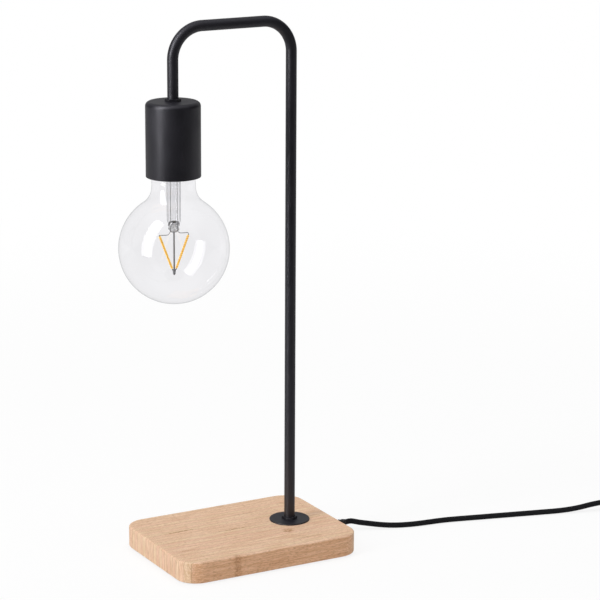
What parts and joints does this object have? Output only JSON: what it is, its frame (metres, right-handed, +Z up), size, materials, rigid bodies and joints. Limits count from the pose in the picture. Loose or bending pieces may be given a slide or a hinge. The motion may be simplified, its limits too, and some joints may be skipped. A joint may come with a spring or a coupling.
{
  "type": "table lamp",
  "caption": "Table lamp with a bare globe bulb in an open socket cup, one bent steel tube on a rounded wooden base, corded switch and plug.",
  "frame": {"origin": "under the middle of the wooden base, on the plane that the base's pad rests on", "axes": "+Z up, +X along the base's long side towards the post and the cord's exit, +Y to the back"},
  "size_m": [0.6425, 0.1645, 0.4757],
  "materials": {
    "bamboo": "clear matt varnish on laminated bamboo",
    "black_powder_coat": "matt black powder coat",
    "zinc_steel": "zinc plated",
    "pad_rubber": "matt foam rubber",
    "phenolic": "moulded, semi-gloss",
    "ceramic": "glazed steatite",
    "contact_brass": "stamped, bright",
    "clear_glass": "clear blown glass",
    "bulb_wire": "drawn nickel wire",
    "filament_phosphor": "phosphor-filled silicone",
    "nickel_cap": "nickel plated",
    "cap_glass_black": "fused black glass",
    "board_green": "lacquered circuit board",
    "black_moulded": "fine textured moulding",
    "rocker_plastic": "smooth moulding",
    "black_textile": "braided textile over the sheath",
    "tie_fabric": "woven hook and loop tape",
    "brown_insulation": "smooth insulation",
    "blue_insulation": "smooth insulation"
  },
  "bodies": {
    "root": {"base_block": "bamboo", "ballast_plate": "zinc_steel", "ballast_screws": "zinc_steel", "floor_pad": "pad_rubber", "post_flange": "black_powder_coat", "foot_nut": "black_powder_coat", "clamp_washer": "zinc_steel", "clamp_nut": "zinc_steel", "cord_clamp": "phenolic", "cord_clamp_screws": "zinc_steel", "cord_relief": "black_moulded", "base_cord": "black_textile", "lead_live": "brown_insulation", "lead_neutral": "blue_insulation", "lamp_tube": "black_powder_coat", "cup_nut": "black_powder_coat", "socket_cup": "black_powder_coat", "tooth_washer": "zinc_steel", "cup_inner_nut": "zinc_steel", "holder_cap": "phenolic", "holder_skirt": "phenolic", "contact_block": "ceramic", "holder_shell": "contact_brass", "centre_contact": "contact_brass", "neutral_strap": "contact_brass", "terminals": "contact_brass", "terminal_screws": "zinc_steel", "cord_to_switch": "black_textile", "switch_base": "black_moulded", "switch_cover": "black_moulded", "switch_pin": "zinc_steel", "switch_terminals": "contact_brass", "switch_cores": "brown_insulation", "switch_screws": "zinc_steel", "switch_relief_in": "black_moulded", "switch_relief_out": "black_moulded", "cord_to_coil": "black_textile", "cord_coil": "black_textile", "coil_tie": "tie_fabric", "cord_to_plug": "black_textile", "plug_body": "black_moulded", "plug_pins": "nickel_cap", "pin_sleeves": "black_moulded", "plug_relief": "black_moulded"},
    "bulb_tip": {"cap_contact": "nickel_cap"},
    "bulb": {"bulb_glass": "clear_glass", "bulb_stem": "clear_glass", "exhaust_tube": "clear_glass", "support_rod": "bulb_wire", "filament_sleeve": "bulb_wire", "filaments": "filament_phosphor", "filament_wires": "bulb_wire", "bulb_cap": "nickel_cap", "cap_insulator": "cap_glass_black", "driver_board": "board_green", "driver_parts": "black_moulded"},
    "rocker": {"switch_rocker": "rocker_plastic", "switch_contact_bar": "contact_brass"}
  },
  "joints": [
    {"name": "bulb_travel", "type": "slide", "parent": "root", "child": "bulb_tip", "axis": [0, 0, -1], "range_m": [0, 0.01815]},
    {"name": "bulb_turn", "type": "hinge", "parent": "bulb_tip", "child": "bulb", "pos_m": [-0.0645, 0, 0.3747], "axis": [0, 0, -1], "range_deg": [0, 1800]},
    {"name": "switch_rock", "type": "hinge", "parent": "root", "child": "rocker", "pos_m": [0.402, -0.081, 0.0128], "axis": [0.2588, 0.9659, 0], "range_deg": [0, 16]}
  ],
  "couplings": [
    {"joint": "bulb_travel", "follows": "bulb_turn", "m_per_rad": 0.00057758}
  ]
}
